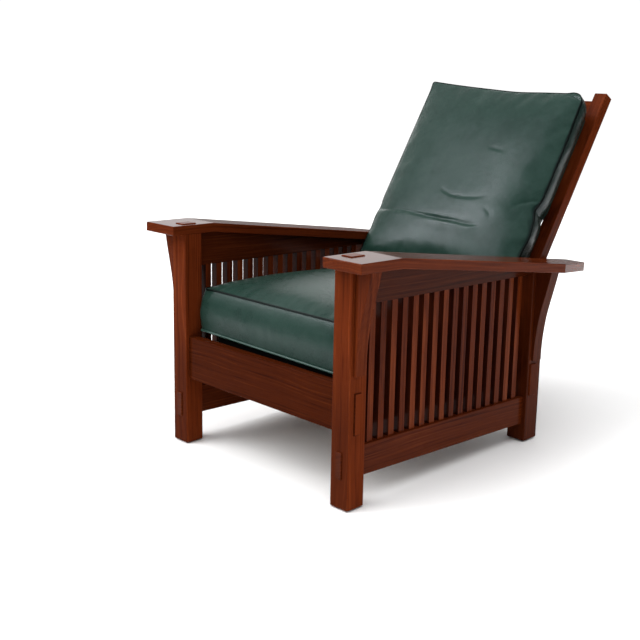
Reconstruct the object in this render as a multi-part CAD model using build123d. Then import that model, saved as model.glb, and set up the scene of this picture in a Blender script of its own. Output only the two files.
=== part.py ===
from build123d import *
import math
import os

# Reclining armchair with bent arms, slatted sides and loose boxed cushions.
# Millimetres, +Z up. The chair faces -Y, and left and right are the sitter's
# (left is +X). Everything is laid out in a square frame whose origin is the
# front foot's front face at floor level. The whole frame then leans back by
# LEAN about that line, and the feet are cut flush with the floor.

LEAN = 2.15                 # whole frame's lean, degrees
GLIDE_H, GLIDE_R = 3.0, 11.0

LEG_OUT = 352.8             # outer face of the legs
LEG_X, LEG_Y = 60.0, 55.7   # leg section
LEG_IN = LEG_OUT - LEG_X
DEPTH = 742.5               # front leg's front face to rear leg's rear face
REAR = DEPTH - LEG_Y
ARRIS = 2.2                 # eased edges
LEG_ARRIS, FOOT_BEVEL = 3.0, 2.6

ARM_Z = 589.7               # underside of the arm's level front part
ARM_T = 25.0
ARM_IN, ARM_OUT = LEG_IN, 419.0
ARM_FRONT, ARM_TAIL = -39.0, 915.0
ARM_FOLD = 735.0            # where the outer edge starts to run inwards
ARM_TAIL_OUT = 356.0
ARM_SLOPE = 7.23            # degrees
BEND_Y, BEND_R = 96.0, 14.0   # the bend is a short, almost sharp crease

TEN_PROUD = 4.2             # through tenons stand this far out
FR_Y0, FR_Y1, FR_Z0, FR_Z1 = 10.5, 37.5, 187.0, 306.0
RR_Y0, RR_Y1, RR_Z0, RR_Z1 = 694.0, 720.0, 155.0, 251.0
SR_X0, SR_X1, SR_Z0, SR_Z1 = 309.0, 340.5, 75.7, 153.4
UP_Z = 498.0                # lower edge of the upper side rail
SLATS, SLAT_W, SLAT_T = 16, 19.0, 22.7
SLAT_X0 = 310.0
SLAT_START, SLAT_PITCH = 81.2, 37.55
STUB = 8.0

CORBEL_T, CORBEL_H, CORBEL_P = 35.0, 255.0, 50.0

ISR_T, ISR_Z0, ISR_Z1 = 17.0, 187.0, 268.0      # inner side rail
XR_Y0, XR_Y1, XR_Z0 = 585.0, 607.0, 187.0       # seat cross rail

SEAT_TILT = 1.8             # seat falls to the rear by this, degrees
SEAT_Y, SEAT_Z = 47.0, 313.0
CUSH_T, CUSH_CROWN, CUSH_X = 128.0, 42.0, 289.3

HINGE_Y, HINGE_Z = 649.5, 232.0
RECLINE = 31.21             # back's angle from upright in the square frame
STILE_OUT, STILE_W, STILE_D = 281.0, 41.0, 32.0
STILE_TOP = 862.0
PIN_R, RUN = 6.0, 0.06
PEG_R, PEG_PITCH, PEG_HOLES, PEG_DEEP = 8.0, 36.0, 4, 32.0

BC_S0, BC_S1, BC_X, BC_T, BC_CROWN = 204.0, 820.0, 285.0, 78.0, 42.0

os.makedirs("parts", exist_ok=True)


# ---------------------------------------------------------------- helpers
MINUS_X = Axis((0, 0, 0), (-1, 0, 0))
MINUS_Y = Axis((0, 0, 0), (0, -1, 0))


def block(x0, x1, y0, y1, z0, z1):
    x0, x1 = min(x0, x1), max(x0, x1)
    return Pos((x0 + x1) / 2, (y0 + y1) / 2, (z0 + z1) / 2) * Box(
        x1 - x0, y1 - y0, z1 - z0)


def yz(pts, x0, x1):
    """Prism along X from a closed outline in Y, Z."""
    x0, x1 = min(x0, x1), max(x0, x1)
    face = make_face(Polyline(*pts, close=True))
    return extrude(Plane.YZ.offset(x0) * face, amount=x1 - x0)


def eased(solid, axis, r=ARRIS):
    return fillet(solid.edges().filter_by(axis), r)


def tenon(x0, x1, y0, y1, z0, z1, face):
    """A tenon whose free end, at the named face, has a small chamfer."""
    t = block(x0, x1, y0, y1, z0, z1)
    if face is None:
        return t
    return chamfer(t.faces().sort_by(face)[-1].edges(), 1.6)


def cyl_x(x0, x1, y, z, r):
    x0, x1 = min(x0, x1), max(x0, x1)
    return Pos((x0 + x1) / 2, y, z) * Rot(0, 90, 0) * Cylinder(r, x1 - x0)


# ---------------------------------------------------------------- arm lines
A = math.radians(ARM_SLOPE)
SA, CA = math.sin(A), math.cos(A)
B0 = BEND_Y - BEND_R * math.tan(A / 2)          # bend starts
CZ = ARM_Z - BEND_R                             # bend's centre height


def bend(r, a):
    return (B0 + r * math.sin(a), CZ + r * math.cos(a))


def slope_at(r, y):
    """Height of the straight rear part's face that lies at radius r."""
    by, bz = bend(r, A)
    return bz - (y - by) * math.tan(A)


def arm_edges(r, y_front, y_rear):
    z = CZ + r
    return [Line((y_front, z), (B0, z)),
            ThreePointArc((B0, z), bend(r, A / 2), bend(r, A)),
            Line(bend(r, A), (y_rear, slope_at(r, y_rear)))]


def arm_face():
    bot = arm_edges(BEND_R, ARM_FRONT, ARM_TAIL)
    r2 = BEND_R + ARM_T
    tail_y = ARM_TAIL + ARM_T * SA
    top = arm_edges(r2, ARM_FRONT, tail_y)
    return make_face(bot + top + [
        Line((ARM_FRONT, ARM_Z), (ARM_FRONT, ARM_Z + ARM_T)),
        Line((ARM_TAIL, slope_at(BEND_R, ARM_TAIL)), (tail_y, slope_at(r2, tail_y)))])


def above_arm(x0, x1):
    """Everything above the arm's underside, to trim what stands below it."""
    bot = arm_edges(BEND_R, -100, 1000)
    zr = slope_at(BEND_R, 1000)
    f = make_face(bot + [Line((-100, ARM_Z), (-100, 900)),
                         Line((-100, 900), (1000, 900)),
                         Line((1000, 900), (1000, zr))])
    return extrude(Plane.YZ.offset(x0) * f, amount=x1 - x0)


# ---------------------------------------------------------------- back lines
TH = math.radians(RECLINE)
SD = (math.sin(TH), math.cos(TH))               # up the back, in Y, Z
NB = (-math.cos(TH), math.sin(TH))              # out of the back's front


def bk(s, n):
    return (HINGE_Y + s * SD[0] + n * NB[0], HINGE_Z + s * SD[1] + n * NB[1])


def bprism(x0, x1, s0, s1, n0, n1):
    return yz([bk(s0, n0), bk(s1, n0), bk(s1, n1), bk(s0, n1)], x0, x1)


# peg holes: the rearmost peg carries the back as it stands here
mid_r = BEND_R + ARM_T / 2
n_peg = -(STILE_D / 2 + PEG_R + 0.3)
py, pz = bk(0, n_peg)
# point on the arm's mid line that is n_peg behind the back's mid plane
k = slope_at(mid_r, 0.0)
s_peg = (k - math.tan(A) * py - pz) / (SD[1] + math.tan(A) * SD[0])
PEG_Y, PEG_Z = bk(s_peg, n_peg)
HOLES = [(PEG_Y - i * PEG_PITCH * CA, PEG_Z + i * PEG_PITCH * SA)
         for i in range(PEG_HOLES)]

# ---------------------------------------------------------------- seat plane
T_TILT = math.tan(math.radians(SEAT_TILT))
C_TILT = math.cos(math.radians(SEAT_TILT))


def zs(y, w):
    """Height of the plane w above the cushion's underside."""
    return SEAT_Z + w / C_TILT - T_TILT * (y - SEAT_Y)


def seat_slab(x0, x1, y0, y1, w0, w1):
    return yz([(y0, zs(y0, w0)), (y1, zs(y1, w0)), (y1, zs(y1, w1)), (y0, zs(y0, w1))], x0, x1)


# ---------------------------------------------------------------- placing
LEANED = Location((0, 0, GLIDE_H)) * Location((0, 0, 0), (-LEAN, 0, 0))
FOOT_CUT = Pos(0, 350, GLIDE_H - 100) * Box(1200, 1400, 200)

pieces = {}


def put(name, *solids):
    pieces[name] = [LEANED * s for s in solids]


def both(name, make):
    """A left and a right piece, mirror images in X."""
    s = make()
    solids = s if isinstance(s, list) else [s]
    put(name + "_left", *solids)
    put(name + "_right", *[mirror(q, about=Plane.YZ) for q in solids])


# ---------------------------------------------------------------- joinery
FT = (FR_Y0 + 4.5, FR_Y1 - 1.8, FR_Z0 + 1.5, FR_Z1 - 14)         # front rail's tenon: y, z
RT = (RR_Y0 + 1.0, RR_Y1 - 1.0, RR_Z0 + 3, RR_Z1 - 3)          # rear rail's tenon
ST = (SR_X0 + 3.5, SR_X0 + 23.5, SR_Z0 + 0.6, SR_Z1 - 9)       # side rail's tenon: x, z
UT = (SR_X0 + 7.0, SR_X0 + 26.0)                               # upper rail's tenon: x
AT = (309.0, 343.0, 5.0, 48.5)                                 # leg's tenon in the arm
RA = (326.5, 346.0, 696.0, 733.0, 4.5)                         # rear leg's blind tenon


def front_rail_solid():
    s = eased(block(-LEG_IN, LEG_IN, FR_Y0, FR_Y1, FR_Z0, FR_Z1), Axis.X, 1.6)
    for sgn, d in ((1, Axis.X), (-1, MINUS_X)):
        s += tenon(sgn * LEG_IN, sgn * (LEG_OUT + TEN_PROUD), FT[0], FT[1], FT[2], FT[3], d)
    return s


def rear_rail_solid():
    s = eased(block(-LEG_IN, LEG_IN, RR_Y0, RR_Y1, RR_Z0, RR_Z1), Axis.X, 1.6)
    for sgn, d in ((1, Axis.X), (-1, MINUS_X)):
        s += tenon(sgn * LEG_IN, sgn * (LEG_OUT + TEN_PROUD), RT[0], RT[1], RT[2], RT[3], d)
    return s


SLAT_Y = [SLAT_START + i * SLAT_PITCH for i in range(SLATS)]


def slat_holes(z0, z1):
    return [block(SLAT_X0, SLAT_X0 + SLAT_T, y, y + SLAT_W, z0, z1) for y in SLAT_Y]


def lower_rail():
    s = eased(block(SR_X0, SR_X1, LEG_Y, REAR, SR_Z0, SR_Z1), Axis.Y, 1.6)
    s += tenon(ST[0], ST[1], -TEN_PROUD, LEG_Y, ST[2], ST[3], MINUS_Y)
    s += tenon(ST[0], ST[1], REAR, DEPTH + TEN_PROUD, ST[2], ST[3], Axis.Y)
    return s - slat_holes(SR_Z1 - STUB, SR_Z1 + 5)


def upper_rail():
    s = block(SR_X0, SR_X1, LEG_Y, REAR, UP_Z, 640)
    s = fillet(s.edges().filter_by(Axis.Y).group_by(Axis.Z)[0], 1.6)
    s += block(UT[0], UT[1], LEG_Y - 18, LEG_Y, UP_Z + 12, UP_Z + 72)
    s += block(UT[0], UT[1], REAR, REAR + 18, UP_Z + 3, UP_Z + 11)
    s -= above_arm(SR_X0 - 5, SR_X1 + 5)
    return s - slat_holes(UP_Z - 5, UP_Z + STUB)


def slats():
    # each slat carries a little roundness on its four long edges between the rails
    out = []
    for y in SLAT_Y:
        b = block(SLAT_X0, SLAT_X0 + SLAT_T, y, y + SLAT_W, SR_Z1, UP_Z)
        b = fillet(b.edges().filter_by(Axis.Z), 0.6)
        b += block(SLAT_X0, SLAT_X0 + SLAT_T, y, y + SLAT_W, SR_Z1 - STUB, SR_Z1)
        b += block(SLAT_X0, SLAT_X0 + SLAT_T, y, y + SLAT_W, UP_Z, UP_Z + STUB)
        out.append(b)
    return out


ISR_X1 = LEG_IN + ISR_T
HOLE_IN_ISR = cyl_x(LEG_IN - 5, ISR_X1 + 5, HINGE_Y, HINGE_Z, PIN_R + 0.03)


def inner_side_rail():
    s = eased(block(LEG_IN, ISR_X1, LEG_Y, REAR, ISR_Z0, ISR_Z1), Axis.Y, 1.2)
    s += block(LEG_IN + 3, ISR_X1 - 3, LEG_Y - 14, LEG_Y, ISR_Z0 + 8, ISR_Z1 - 8)
    s += block(LEG_IN + 3, ISR_X1 - 3, REAR, REAR + 6, ISR_Z0 + 8, ISR_Z1 - 8)
    s -= HOLE_IN_ISR
    s -= block(LEG_IN - 5, LEG_IN + STUB, XR_Y0 + 3, XR_Y1 - 3, XR_Z0 + 6, XR_Z0 + 38)
    return s


def front_leg():
    s = eased(block(LEG_IN, LEG_OUT, 0, LEG_Y, -60, ARM_Z), Axis.Z, LEG_ARRIS)
    s = foot(s)
    s += tenon(AT[0], AT[1], AT[2], AT[3], ARM_Z, ARM_Z + ARM_T + 2.4, Axis.Z)
    s -= block(LEG_IN - 5, LEG_OUT + 5, FT[0], FT[1], FT[2], FT[3])
    s -= block(ST[0], ST[1], -5, LEG_Y + 5, ST[2], ST[3])
    s -= block(UT[0], UT[1], LEG_Y - 18, LEG_Y + 5, UP_Z + 12, UP_Z + 72)
    s -= block(LEG_IN + 3, ISR_X1 - 3, LEG_Y - 14, LEG_Y + 5, ISR_Z0 + 8, ISR_Z1 - 8)
    return s


def rear_leg():
    s = eased(block(LEG_IN, LEG_OUT, REAR, DEPTH, -60, 600), Axis.Z, LEG_ARRIS)
    s = foot(s)
    s -= above_arm(LEG_IN - 5, LEG_OUT + 5)
    t = block(RA[0], RA[1], RA[2], RA[3], 480, 600)
    # blind tenon: stops RA[4] above the arm's underside
    lid = Pos(0, 0, RA[4]) * above_arm(LEG_IN - 5, LEG_OUT + 5)
    s += t - lid
    s -= block(LEG_IN - 5, LEG_OUT + 5, RT[0], RT[1], RT[2], RT[3])
    s -= block(ST[0], ST[1], REAR - 5, DEPTH + 5, ST[2], ST[3])
    s -= block(UT[0], UT[1], REAR - 5, REAR + 18, UP_Z + 3, UP_Z + 11)
    s -= block(LEG_IN + 3, ISR_X1 - 3, REAR - 5, REAR + 6, ISR_Z0 + 8, ISR_Z1 - 8)
    return s


def foot(s):
    """Cut the leg level with the floor and chamfer the foot's edges."""
    w = LEANED * s - FOOT_CUT
    low = w.faces().sort_by(Axis.Z)[0]
    w = chamfer(low.edges(), FOOT_BEVEL)
    return LEANED.inverse() * w


def arm():
    s = extrude(Plane.YZ.offset(ARM_IN) * arm_face(), amount=ARM_OUT - ARM_IN)
    # outer edge runs inwards over the tail
    cut = make_face(Polyline((ARM_OUT + 1, ARM_FOLD - 1 * (ARM_TAIL - ARM_FOLD) / (ARM_OUT - ARM_TAIL_OUT)),
                             (ARM_TAIL_OUT, ARM_TAIL + 4),
                             (ARM_TAIL_OUT - 4, ARM_TAIL + 60),
                             (ARM_OUT + 60, ARM_TAIL + 60),
                             (ARM_OUT + 60, ARM_FOLD), close=True))
    s -= extrude(Pos(0, 0, 400) * cut, amount=300)
    s = fillet(s.edges(), 2.0)
    s -= block(AT[0], AT[1], AT[2], AT[3], 500, 700)
    t = block(RA[0], RA[1], RA[2], RA[3], 480, 600)
    s -= t - Pos(0, 0, RA[4]) * above_arm(LEG_IN - 5, LEG_OUT + 5)
    for y, z in HOLES:
        s -= cyl_x(ARM_IN - 5, ARM_IN + PEG_DEEP, y, z, PEG_R + RUN)
        mouth = Pos(ARM_IN + 0.6, y, z) * Rot(0, -90, 0) * Cone(PEG_R + RUN, PEG_R + RUN + 1.2, 1.2)
        s -= mouth
    return s


def corbel(yc, ztop_max, trim):
    """Bracket with a hollow outer edge, thickest under the arm."""
    p = CORBEL_P
    x0 = LEG_OUT
    zt = ztop_max
    h = CORBEL_H
    curve = Spline((x0 + p, zt), (x0 + 40.5, zt - 42), (x0 + 29.4, zt - 85), (x0 + 18.8, zt - 130),
                   (x0 + 12.2, zt - 175), (x0 + 8.8, zt - 215), (x0 + 8, zt - 245))
    f = make_face([Line((x0, zt), (x0 + p, zt)), curve,
                   Line((x0 + 8, zt - 245), (x0 + 8, zt - h)),
                   Line((x0 + 8, zt - h), (x0, zt - h)),
                   Line((x0, zt - h), (x0, zt))])
    s = extrude(Plane.XZ.offset(-(yc + CORBEL_T / 2)) * f, amount=CORBEL_T)
    # ease the two curved edges
    outer = [e for e in s.edges() if e.geom_type == GeomType.BSPLINE]
    s = fillet(outer, 1.4)
    if trim:
        s -= above_arm(LEG_OUT - 5, ARM_OUT + 5)
    return s


both("front_leg", front_leg)
both("rear_leg", rear_leg)
put("front_rail", front_rail_solid())
put("rear_rail", rear_rail_solid())
both("side_lower_rail", lower_rail)
both("side_upper_rail", upper_rail)
both("side_slats", slats)
both("inner_side_rail", inner_side_rail)
both("arm", arm)
both("front_corbel", lambda: corbel(LEG_Y / 2, ARM_Z, False))
both("rear_corbel", lambda: corbel((REAR + DEPTH) / 2, slope_at(BEND_R, (REAR + DEPTH) / 2 - CORBEL_T / 2), True))

# ---------------------------------------------------------------- seat support
FRAME_X, FRAME_Y0, FRAME_Y1 = LEG_IN - 2.8, 46.0, 607.0
FW0, FW1 = -60.0, -32.0
CLEAT = 20.0

cross = yz([(XR_Y0, XR_Z0), (XR_Y1, XR_Z0), (XR_Y1, zs(XR_Y1, FW0)), (XR_Y0, zs(XR_Y0, FW0))],
           -LEG_IN, LEG_IN)
for sgn in (1, -1):
    cross += block(sgn * LEG_IN, sgn * (LEG_IN + STUB), XR_Y0 + 3, XR_Y1 - 3, XR_Z0 + 6, XR_Z0 + 38)
put("seat_cross_rail", cross)


SCREW_R, HEAD_R, HEAD_H = 2.2, 4.4, 2.6
SIDE_SCREW_Y = (110.0, 320.0, 530.0)
FRONT_SCREW_X = (-200.0, 0.0, 200.0)
SCREW_DROP = 11.0


def side_screw(y):
    z = zs(y, FW0) - SCREW_DROP
    x = LEG_IN - CLEAT
    shank = cyl_x(x, LEG_IN + 10, y, z, SCREW_R)
    head = Pos(x + HEAD_H / 2, y, z) * Rot(0, 90, 0) * Cone(HEAD_R, SCREW_R, HEAD_H)
    return shank + head


def front_screw(x):
    z = zs(FR_Y1 + CLEAT, FW0) - SCREW_DROP
    y = FR_Y1 + CLEAT
    shank = Pos(x, (y + FR_Y1 - 10) / 2, z) * Rot(90, 0, 0) * Cylinder(SCREW_R, y - FR_Y1 + 10)
    head = Pos(x, y - HEAD_H / 2, z) * Rot(90, 0, 0) * Cone(HEAD_R, SCREW_R, HEAD_H)
    return shank + head


side_screws = [side_screw(y) for y in SIDE_SCREW_Y]
side_screws_r = [mirror(s, about=Plane.YZ) for s in side_screws]
front_screws = [front_screw(x) for x in FRONT_SCREW_X]


def side_cleat():
    y0, y1 = LEG_Y + 4, XR_Y0 - 4
    s = yz([(y0, zs(y0, FW0) - 22), (y1, zs(y1, FW0) - 22), (y1, zs(y1, FW0)), (y0, zs(y0, FW0))],
           LEG_IN - CLEAT, LEG_IN)
    return s - side_screws


front_cleat = yz([(FR_Y1, 228), (FR_Y1 + CLEAT, 228), (FR_Y1 + CLEAT, zs(FR_Y1 + CLEAT, FW0)),
                  (FR_Y1, zs(FR_Y1, FW0))], -262, 262) - front_screws
both("side_cleat", side_cleat)
put("front_cleat", front_cleat)
put("cleat_screws", *side_screws, *side_screws_r, *front_screws)
# the screws bite into the rails
pieces["front_rail"] = [pieces["front_rail"][0] - [LEANED * s for s in front_screws]]
pieces["inner_side_rail_left"] = [pieces["inner_side_rail_left"][0] - [LEANED * s for s in side_screws]]
pieces["inner_side_rail_right"] = [pieces["inner_side_rail_right"][0] - [LEANED * s for s in side_screws_r]]

put("seat_frame_front", seat_slab(-FRAME_X, FRAME_X, FRAME_Y0, FRAME_Y0 + 50, FW0, FW1))
put("seat_frame_rear", seat_slab(-FRAME_X, FRAME_X, FRAME_Y1 - 50, FRAME_Y1, FW0, FW1))
both("seat_frame", lambda: seat_slab(FRAME_X - 50, FRAME_X, FRAME_Y0 + 50, FRAME_Y1 - 50, FW0, FW1))
for side in ("left", "right"):
    pieces["seat_frame_side_" + side] = pieces.pop("seat_frame_" + side)

straps = []
for i in range(5):
    y = 120 + i * 96
    straps.append(seat_slab(-FRAME_X + 12, FRAME_X - 12, y, y + 52, FW1, FW1 + 2))
for i in range(5):
    x = (i - 2) * 96
    straps.append(seat_slab(x - 26, x + 26, FRAME_Y0 + 12, FRAME_Y1 - 12, FW1 + 2, FW1 + 4))
put("seat_webbing", *straps)
pad = seat_slab(-258, 258, FRAME_Y0 + 26, FRAME_Y1 - 8, FW1 + 4, -0.3)
put("deck_pad", pad)

# ---------------------------------------------------------------- back frame
mortises = []
STILE_IN = STILE_OUT - STILE_W
TEN = 24.0
RAILS = {"back_top_rail": (733.0, 837.0, -9.0, 13.0), "back_bottom_rail": (132.0, 196.0, -9.0, 11.0)}
BACK_SLATS = [(260.0, 312.0), (378.0, 430.0), (496.0, 548.0), (614.0, 666.0)]
SLAT_N = (-3.0, 9.0)


def cross_piece(s0, s1, n0, n1, inset):
    p = bprism(-STILE_IN, STILE_IN, s0, s1, n0, n1)
    p = eased(p, Axis.X, 1.8)
    for sgn in (1, -1):
        p += bprism(sgn * STILE_IN, sgn * (STILE_IN + TEN), s0 + inset, s1 - inset, n0 + 3, n1 - 3)
    return p


for name, (s0, s1, n0, n1) in RAILS.items():
    put(name, cross_piece(s0, s1, n0, n1, 8))
    mortises.append((s0 + 8, s1 - 8, n0 + 3, n1 - 3))
put("back_slats", *[cross_piece(s0, s1, SLAT_N[0], SLAT_N[1], 4) for s0, s1 in BACK_SLATS])
for s0, s1 in BACK_SLATS:
    mortises.append((s0 + 4, s1 - 4, SLAT_N[0] + 3, SLAT_N[1] - 3))


def stile():
    half = STILE_D / 2
    f = make_face([Line(bk(0, -half), bk(STILE_TOP, -half)), Line(bk(STILE_TOP, -half), bk(STILE_TOP, half)),
                   Line(bk(STILE_TOP, half), bk(0, half)),
                   ThreePointArc(bk(0, half), bk(-half, 0), bk(0, -half))])
    s = extrude(Plane.YZ.offset(STILE_IN) * f, amount=STILE_W)
    s = fillet([e for e in s.edges() if e.length > 600], ARRIS)
    s = chamfer(s.faces().sort_by(Axis((0, 0, 0), (0, SD[0], SD[1])))[-1].edges(), 1.6)
    s -= cyl_x(STILE_IN - 5, STILE_OUT + 5, HINGE_Y, HINGE_Z, PIN_R + RUN)
    for s0, s1, n0, n1 in mortises:
        s -= bprism(STILE_IN - 5, STILE_IN + TEN, s0, s1, n0, n1)
    return s


both("back_stile", stile)


def pivot_pin():
    s = cyl_x(STILE_IN - 7, ISR_X1 - 2, HINGE_Y, HINGE_Z, PIN_R)
    head = cyl_x(STILE_IN - 7, STILE_IN - 0.5, HINGE_Y, HINGE_Z, 11.0)
    head = chamfer(head.edges().filter_by(GeomType.CIRCLE).sort_by(Axis.X)[0], 1.2)
    slot = Pos(STILE_IN - 7, HINGE_Y, HINGE_Z) * Box(3.2, 2.0, 18)
    return s + head - slot


both("pivot_pin", pivot_pin)
washer = cyl_x(STILE_OUT + 0.3, LEG_IN, HINGE_Y, HINGE_Z, 13.0) - cyl_x(
    STILE_OUT - 5, LEG_IN + 5, HINGE_Y, HINGE_Z, PIN_R + RUN)
put("pivot_washers", washer, mirror(washer, about=Plane.YZ))


def peg():
    """Turned peg: shank in the arm's hole and behind the stile, knob inboard."""
    x_end = ARM_IN + PEG_DEEP - 2
    x_kn = STILE_IN - 3.0
    prof = [(x_end, 0), (x_end, PEG_R - 1.2), (x_end - 1.2, PEG_R), (x_kn, PEG_R)]
    f = make_face([Polyline(*prof), Line((x_kn, PEG_R), (x_kn, 11.0)),
                   Spline((x_kn, 11.0), (x_kn - 9, 15.0), (x_kn - 20, 13.5), (x_kn - 29, 7.0)),
                   Line((x_kn - 29, 7.0), (x_kn - 31, 0)), Line((x_kn - 31, 0), (x_end, 0))])
    s = revolve(f, Axis.X)
    return Pos(0, HOLES[0][0], HOLES[0][1]) * s


both("adjusting_peg", peg)

# ---------------------------------------------------------------- cushions
# seat cushion: boxed, crowned on top, its rear face sloped for the back
r0, r1 = (640.0, zs(640.0, 0)), (668.0, zs(668.0, CUSH_T))
side = make_face([Line((SEAT_Y - 3, zs(SEAT_Y - 3, 0)), r0), Line(r0, r1),
                  ThreePointArc(r1, ((SEAT_Y + 668) / 2, zs((SEAT_Y + 668) / 2, CUSH_T + CUSH_CROWN)),
                                (SEAT_Y - 3, zs(SEAT_Y - 3, CUSH_T))),
                  Line((SEAT_Y - 3, zs(SEAT_Y - 3, CUSH_T)), (SEAT_Y - 3, zs(SEAT_Y - 3, 0)))])
seat = extrude(Plane.YZ.offset(-CUSH_X) * side, amount=2 * CUSH_X)
seat = fillet(seat.edges().filter_by(Axis.X), 7.0)
front = make_face([Line((-CUSH_X, -10), (CUSH_X, -10)), Line((CUSH_X, -10), (CUSH_X, CUSH_T)),
                   ThreePointArc((CUSH_X, CUSH_T), (0, CUSH_T + CUSH_CROWN + 2), (-CUSH_X, CUSH_T)),
                   Line((-CUSH_X, CUSH_T), (-CUSH_X, -10))])
tube = extrude(Plane((0, SEAT_Y - 20, zs(SEAT_Y - 20, 0)), x_dir=(1, 0, 0),
                     z_dir=(0, -math.cos(math.radians(SEAT_TILT)), math.sin(math.radians(SEAT_TILT)))) * front,
               amount=-720)
seat = seat & tube
put("seat_cushion", seat)

# back cushion: stands on the seat, leans on the back's slats
n0, n1 = STILE_D / 2 + 0.3, STILE_D / 2 + 0.3 + BC_T
bside = make_face([Line(bk(BC_S0, n0), bk(BC_S1, n0)), Line(bk(BC_S1, n0), bk(BC_S1, n1)),
                   ThreePointArc(bk(BC_S1, n1), bk((BC_S0 + BC_S1) / 2, n1 + BC_CROWN), bk(BC_S0, n1)),
                   Line(bk(BC_S0, n1), bk(BC_S0, n0))])
backc = extrude(Plane.YZ.offset(-BC_X) * bside, amount=2 * BC_X)
backc = fillet(backc.edges().filter_by(Axis.X), 7.0)
btop = make_face([Line((-BC_X, -30), (BC_X, -30)), Line((BC_X, -30), (BC_X, n1)),
                  ThreePointArc((BC_X, n1), (0, n1 + BC_CROWN + 2), (-BC_X, n1)),
                  Line((-BC_X, n1), (-BC_X, -30))])
o = bk(BC_S0 - 20, 0)
btube = extrude(Plane((0, o[0], o[1]), x_dir=(1, 0, 0), z_dir=(0, -SD[0], -SD[1])) * btop, amount=-700)
backc = backc & btube
put("back_cushion", backc)

# ---------------------------------------------------------------- glides
glides = []
for sx in (1, -1):
    for yc in (LEG_Y / 2, (REAR + DEPTH) / 2):
        c = LEANED * Pos(sx * (LEG_IN + LEG_X / 2), yc, yc * math.tan(math.radians(LEAN)))
        g = Pos(c.position.X, c.position.Y, GLIDE_H / 2) * Cylinder(GLIDE_R, GLIDE_H)
        glides.append(chamfer(g.edges().filter_by(GeomType.CIRCLE).sort_by(Axis.Z)[0], 0.8))
pieces["foot_glides"] = glides

# ---------------------------------------------------------------- centre and write
ymin = min(s.bounding_box().min.Y for v in pieces.values() for s in v)
ymax = max(s.bounding_box().max.Y for v in pieces.values() for s in v)
SHIFT = -(ymin + ymax) / 2
CENTRE = Location((0, SHIFT, 0))
for name, solids in pieces.items():
    flat = []
    for s in solids:
        flat += (CENTRE * s).solids()
    export_step(Compound(children=flat) if len(flat) > 1 else flat[0], "parts/" + name + ".step")


def world(y, z):
    p = (CENTRE * LEANED * Pos(0, y, z)).position
    return (round(p.Y / 1000, 6), round(p.Z / 1000, 6))


print("shift", SHIFT, "depth", ymax - ymin)
print("hinge", world(HINGE_Y, HINGE_Z))
print("holes", [world(y, z) for y, z in HOLES])
a = math.radians(RECLINE + LEAN)
print("back normal", (0, -math.cos(a), math.sin(a)), "up the back", (0, math.sin(a), math.cos(a)))
b = math.radians(SEAT_TILT + LEAN)
print("seat forward", (0, -math.cos(b), math.sin(b)))
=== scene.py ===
import math
import random

import bmesh
import bpy
import numpy as np
from mathutils import Matrix, Vector, noise


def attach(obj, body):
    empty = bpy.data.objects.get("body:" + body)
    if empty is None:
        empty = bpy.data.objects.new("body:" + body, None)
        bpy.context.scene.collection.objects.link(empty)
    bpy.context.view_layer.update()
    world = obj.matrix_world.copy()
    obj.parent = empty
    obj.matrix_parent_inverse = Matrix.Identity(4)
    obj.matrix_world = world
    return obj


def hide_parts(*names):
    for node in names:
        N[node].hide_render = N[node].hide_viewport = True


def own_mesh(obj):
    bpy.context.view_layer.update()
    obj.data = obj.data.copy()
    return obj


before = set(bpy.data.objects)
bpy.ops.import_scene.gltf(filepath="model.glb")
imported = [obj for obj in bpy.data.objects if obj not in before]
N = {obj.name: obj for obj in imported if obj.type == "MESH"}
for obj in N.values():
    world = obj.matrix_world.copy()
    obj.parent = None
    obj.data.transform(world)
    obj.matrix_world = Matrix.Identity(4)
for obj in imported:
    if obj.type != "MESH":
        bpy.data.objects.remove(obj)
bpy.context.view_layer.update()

sc = bpy.context.scene

# ------------------------------------------------------------------ the chair's own frames
SHIFT = -0.5637331594408402
LEAN = math.radians(2.15)
ML = Matrix.Translation((0, SHIFT, 0.003)) @ Matrix.Rotation(-LEAN, 4, "X")
MS = ML @ Matrix.Translation((0, 0.047, 0.313)) @ Matrix.Rotation(-math.radians(1.8), 4, "X")
MB = ML @ Matrix.Translation((0, 0.6495, 0.232)) @ Matrix.Rotation(-math.radians(31.21), 4, "X")
# MS: x, depth from the front, height over the seat's underside
# MB: x, minus the distance in front of the back's mid plane, height up the back from its pivot


# ------------------------------------------------------------------ small helpers
def smooth(o):
    for p in o.data.polygons:
        p.use_smooth = True


def new_obj(name, verts, faces, M=None):
    me = bpy.data.meshes.new(name)
    me.from_pydata([tuple(v) for v in verts], [], faces)
    me.validate()
    o = bpy.data.objects.new(name, me)
    sc.collection.objects.link(o)
    if M is not None:
        me.transform(M)
    return o


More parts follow.
